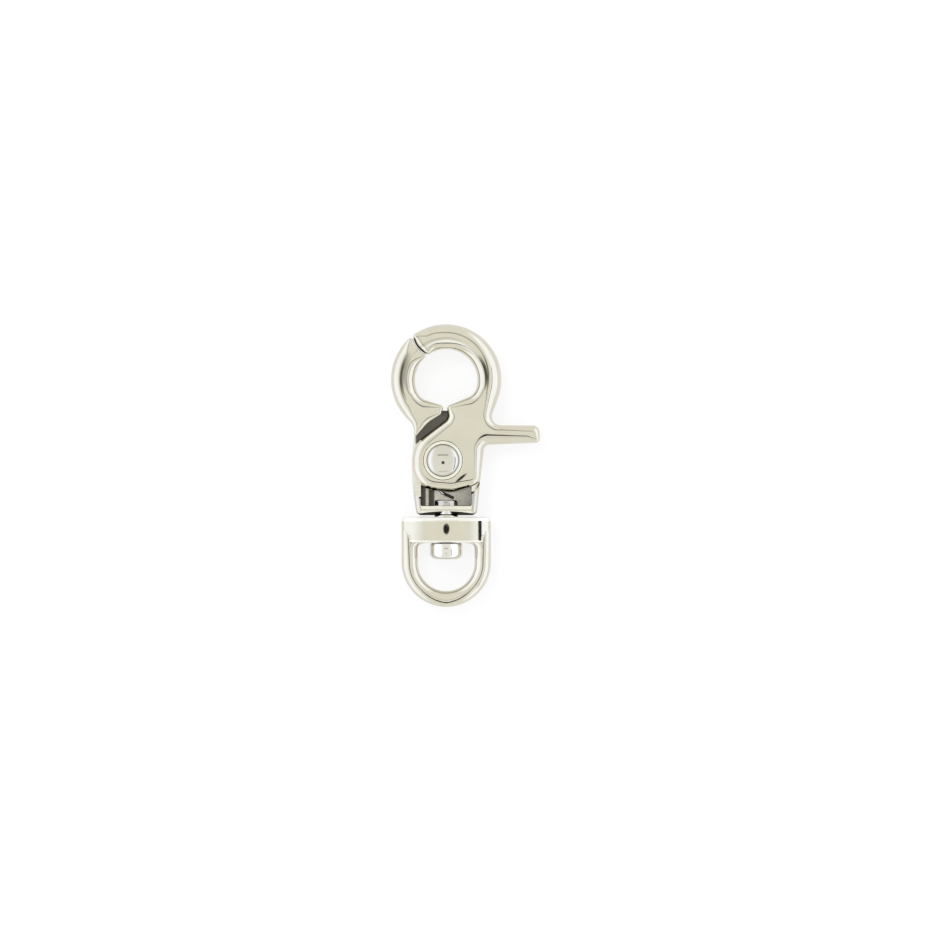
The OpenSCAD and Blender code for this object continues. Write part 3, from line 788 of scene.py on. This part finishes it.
def tube(name, path, radius, finish, sides=20):
    """A round wire along the path, with flat ends."""
    points, faces = [], []
    up = Vector((0, 0, 1))
    path = [Vector(p) for p in path]
    side = None
    for i, p in enumerate(path):
        ahead = (path[min(i + 1, len(path) - 1)] - path[max(i - 1, 0)]).normalized()
        side = (side - ahead * side.dot(ahead)).normalized() if side else ahead.cross(up).normalized()
        third = ahead.cross(side)
        for j in range(sides):
            a = math.tau * j / sides
            points.append(tuple(p + radius * (math.cos(a) * side + math.sin(a) * third)))
    for i in range(len(path) - 1):
        for j in range(sides):
            a, b = i * sides + j, i * sides + (j + 1) % sides
            faces.append((a, b, b + sides, a + sides))
    faces.append(tuple(range(sides - 1, -1, -1)))
    faces.append(tuple((len(path) - 1) * sides + j for j in range(sides)))
    return new_object(name, points, faces, finish)


def bent(corners, radius, steps=8):
    """Points along straight legs joined by round bends."""
    path = [Vector(corners[0])]
    for a, b, c in zip(corners, corners[1:], corners[2:]):
        a, b, c = Vector(a), Vector(b), Vector(c)
        u, v = (a - b).normalized(), (c - b).normalized()
        reach = min(radius, 0.45 * (a - b).length, 0.45 * (c - b).length)
        start, end = b + u * reach, b + v * reach
        for k in range(steps + 1):
            t = k / steps
            path.append(start * (1 - t) ** 2 + b * 2 * t * (1 - t) + end * t ** 2)
    path.append(Vector(corners[-1]))
    return path


def make_spring():
    """A coil round the shank, with one leg bent across the pocket and one up into the lever."""
    wire_r, coil_r, pitch, turns, start, per_turn = 0.32, 2.62, 0.72, 3, 262, 60
    low = COIL_FLOOR + wire_r + 0.06
    coil = []
    for i in range(turns * per_turn + 1):
        coil.append((*polar(PIVOT, coil_r, start + 360 / per_turn * i), low + pitch * i / per_turn))
    skip, leg_z, leg_top = 6, low + 1.2, 5.3
    leg = [(PIVOT[0] + 2.4, -26.7, leg_z), (PIVOT[0] - 0.55, -25.35, leg_z), coil[0], coil[skip]]
    rise = [coil[-skip - 1], coil[-1], (*coil[-1][:2], leg_top)]
    path = bent(leg, 0.7)[:-1] + coil[skip:-skip] + bent(rise, 0.35)[1:]
    spring = tube("torsion_spring_wire", path, wire_r, WIRE)
    finish_piece(spring, "hook_body", "torsion_spring")


# ---- swivel eye ----

EYE_HALF = 10.07
BAR_ROUND = 0.5


def make_loop():
    """The D loop with its arched gap; the pins widen its front towards the foot."""
    inner, thick, foot_w, rounding, leg_round = 6.35, 1.9, 3.6, 1.8, 1.5
    leg_w = EYE_HALF - inner
    bottom = HOOK_LENGTH - RING_R
    low, top = SWIVEL_Z - thick, SWIVEL_Z + thick
    leg_top, corner, arch_r = 2.4 - BAR_FOOT, 1.2, 27
    loop_marks = stations([
        (0, EYE_HALF - bottom, EYE_HALF, rounding),
        (EYE_HALF - leg_w / 2, leg_top, leg_w / 2, leg_round),
        (leg_w / 2 - EYE_HALF, leg_top, leg_w / 2, leg_round),
    ], [(0, -bottom, foot_w / 4, 0.12)])
    gap_marks = stations([
        (0, foot_w + inner - bottom, inner, -rounding),
        (inner - corner, -1.4 - BAR_FOOT, corner, -rounding),
        (0, 0.25 - arch_r - BAR_FOOT, arch_r, -rounding),
        (corner - inner, -1.4 - BAR_FOOT, corner, -rounding),
    ], [(0, foot_w - bottom, -foot_w * 0.68, 0.15)])
    section = round_up(low, thick) + round_over(top, thick)
    loop = pillow("swivel_eye_casting", loop_marks, section, POLISHED, lines=0.9)
    gap = pillow("gap_cut", gap_marks, [(1.02, low - 1)] + section + [(1.02, top + 1)], POLISHED)
    combine(loop, [gap], "DIFFERENCE")
    return loop


def crowned(rows):
    """The crossbar's front is slightly crowned along the swivel axis, fullest near its upper edge."""
    fullest, curve = BAR_TOP + 1.3, 44.0
    return [(max(q, 0) + (level - fullest) ** 2 / (2 * curve * BAR_ROUND), level) for q, level in rows]


def make_crossbar():
    """The crossbar: a section fuller in the middle than at the ends, with painted highlights on its rims."""
    end, mid, upper, lower, levels = 2.1, 3.5, 1.0, 0.6, 12
    x = EYE_HALF - end
    curve = (x * x + mid * mid - end * end) / (2 * (mid - end))
    marks = stations([
        (x, 0, end, BAR_ROUND), (0, mid - curve, curve, BAR_ROUND),
        (-x, 0, end, BAR_ROUND), (0, curve - mid, curve, BAR_ROUND),
    ])
    plain_h = BAR_H - upper - lower
    rows = round_up(BAR_TOP, upper)
    rows += [(0, BAR_TOP + upper + k * plain_h / levels) for k in range(1, levels)]
    rows += round_over(BAR_FOOT, lower)
    return pillow("crossbar", marks, crowned(rows), POLISHED, along_swivel, rims=ROUND_STEPS)


def make_eye():
    """The loop, crossbar and collar in one casting, bored for the pin."""
    eye, bar = make_loop(), make_crossbar()
    face, r, root = 30.28, 2.7, BAR_TOP + 1.5
    collar = lathe("collar", [
        (0, face), (r - 0.65, face), (r - 0.4, face + 0.06), (r - 0.18, face + 0.18), (r - 0.05, face + 0.34),
        (r, face + 0.52), (r, root), (0, root),
    ], (0, 0), POLISHED, along_swivel)
    combine(eye, [bar, collar], "UNION")
    bore = cylinder("bore_cut", PIN_R + BORE_GAP, BAR_TOP - 2, BAR_FOOT + 2, (0, 0), AS_CAST_SHADED, along_swivel)
    combine(eye, [bore], "DIFFERENCE")
    finish_piece(eye, "swivel_eye", "swivel_eye")


# ---- studio ----

def make_floor():
    """White paper that takes the shadow, and glows where the camera or a reflection sees it."""
    size, colour, glow_share = 3.0, (0.9, 0.9, 0.9, 1), 0.82
    mesh = bpy.data.meshes.new("floor")
    mesh.from_pydata([(-size, -size, 0), (size, -size, 0), (size, size, 0), (-size, size, 0)], [], [(0, 1, 2, 3)])
    material = bpy.data.materials.new("white_paper")
    material.use_nodes = True
    tree = material.node_tree
    tree.nodes.clear()
    paper = tree.nodes.new("ShaderNodeBsdfDiffuse")
    paper.inputs["Color"].default_value = colour
    glow = tree.nodes.new("ShaderNodeEmission")
    glow.inputs["Strength"].default_value = 1.0
    path = tree.nodes.new("ShaderNodeLightPath")
    seen = tree.nodes.new("ShaderNodeMath")
    seen.operation = "MAXIMUM"
    tree.links.new(path.outputs["Is Camera Ray"], seen.inputs[0])
    tree.links.new(path.outputs["Is Glossy Ray"], seen.inputs[1])
    mix = tree.nodes.new("ShaderNodeMixShader")
    output = tree.nodes.new("ShaderNodeOutputMaterial")
    tree.links.new(spread(tree, seen.outputs["Value"], 0.0, glow_share, 0.0, 1.0), mix.inputs["Fac"])
    tree.links.new(paper.outputs["BSDF"], mix.inputs[1])
    tree.links.new(glow.outputs["Emission"], mix.inputs[2])
    tree.links.new(mix.outputs["Shader"], output.inputs["Surface"])
    mesh.materials.append(material)
    floor = bpy.data.objects.new("floor", mesh)
    bpy.context.collection.objects.link(floor)


def make_world():
    """A white tent with bright sides, one dark gap on the right and the dark lens close to straight above."""
    world = bpy.data.worlds.new("tent")
    bpy.context.scene.world = world
    world.use_nodes = True
    tree = world.node_tree
    tree.nodes.clear()
    place = tree.nodes.new("ShaderNodeTexCoord")
    split = tree.nodes.new("ShaderNodeSeparateXYZ")
    tree.links.new(place.outputs["Generated"], split.inputs["Vector"])
    x, y = split.outputs["X"], split.outputs["Y"]

    def rise(value, start, end):
        return spread(tree, value, 0.0, 1.0, start, end)

    def fall(value, start, end):
        return spread(tree, value, 1.0, 0.0, start, end)

    def strip(value, start, end, soft):
        return [rise(value, start, start + soft), fall(value, end - soft, end)]

    absolute = tree.nodes.new("ShaderNodeMath")
    absolute.operation = "ABSOLUTE"
    tree.links.new(x, absolute.inputs[0])
    side = absolute.outputs["Value"]
    middle = spread(tree, side, 0.6, 0.0, 0.18, 0.24)
    lens_y = math.radians(-4.4)
    towards = tree.nodes.new("ShaderNodeVectorMath")
    towards.operation = "DOT_PRODUCT"
    tree.links.new(place.outputs["Generated"], towards.inputs[0])
    towards.inputs[1].default_value = (0.0, math.sin(lens_y), math.cos(lens_y))
    # dark parts of the tent: [mask, brightness left there]
    dark_parts = [
        (product(tree, strip(y, 0.17, 0.23, 0.01) + [middle]), 0.02),
        (product(tree, strip(y, -0.54, -0.45, 0.02) + [middle]), 0.45),
        (product(tree, strip(x, 0.535, 0.61, 0.015) + [rise(y, -0.55, -0.45), fall(y, 0.12, 0.2)]), 0.02),
        (rise(towards.outputs["Value"], math.cos(math.radians(3.4)), math.cos(math.radians(3.1))), 0.02),
    ]
    level = spread(tree, side, TOP_LEVEL, SIDE_LEVEL, 0.40, 0.58)
    level = product(tree, [level] + [spread(tree, mask, 1.0, darkest, 0.0, 1.0) for mask, darkest in dark_parts])
    tint = tree.nodes.new("ShaderNodeMix")
    tint.data_type = "RGBA"
    tree.links.new(rise(side, 0.30, 0.60), tint.inputs["Factor"])
    tint.inputs["A"].default_value = (1.0, 1.0, 0.95, 1)
    tint.inputs["B"].default_value = (0.97, 1.0, 1.10, 1)
    background = tree.nodes.new("ShaderNodeBackground")
    output = tree.nodes.new("ShaderNodeOutputWorld")
    tree.links.new(tint.outputs["Result"], background.inputs["Color"])
    tree.links.new(level, background.inputs["Strength"])
    tree.links.new(background.outputs["Background"], output.inputs["Surface"])


def make_softbox():
    """The one lamp, up on the left; reflections don't show it."""
    at, size, power = Vector((-0.30, 0.34, 0.62)), 0.30, 1.6
    data = bpy.data.lights.new("softbox", "AREA")
    data.shape = "RECTANGLE"
    data.size, data.size_y = size, size
    data.energy = power
    lamp = bpy.data.objects.new("softbox", data)
    lamp.location = at
    lamp.visible_glossy = False
    lamp.rotation_euler = (-at).to_track_quat("-Z", "Y").to_euler()
    bpy.context.collection.objects.link(lamp)


def make_camera():
    """Straight down on the hook, a long way off; width is what it sees at the swivel axis."""
    distance, width, sensor = 1.0, 0.2095, 36
    data = bpy.data.cameras.new("camera")
    data.sensor_fit = "HORIZONTAL"
    data.sensor_width = sensor
    data.lens = sensor * distance / width
    camera = bpy.data.objects.new("camera", data)
    camera.location = (0.00004, -0.0001, distance + SWIVEL_Z * MM)
    bpy.context.collection.objects.link(camera)
    bpy.context.scene.camera = camera


make_body()
make_lever()
make_rivet()
make_pin()
make_spring()
make_eye()
make_floor()
make_world()
make_softbox()
make_camera()
bpy.context.scene.view_settings.view_transform = "Standard"
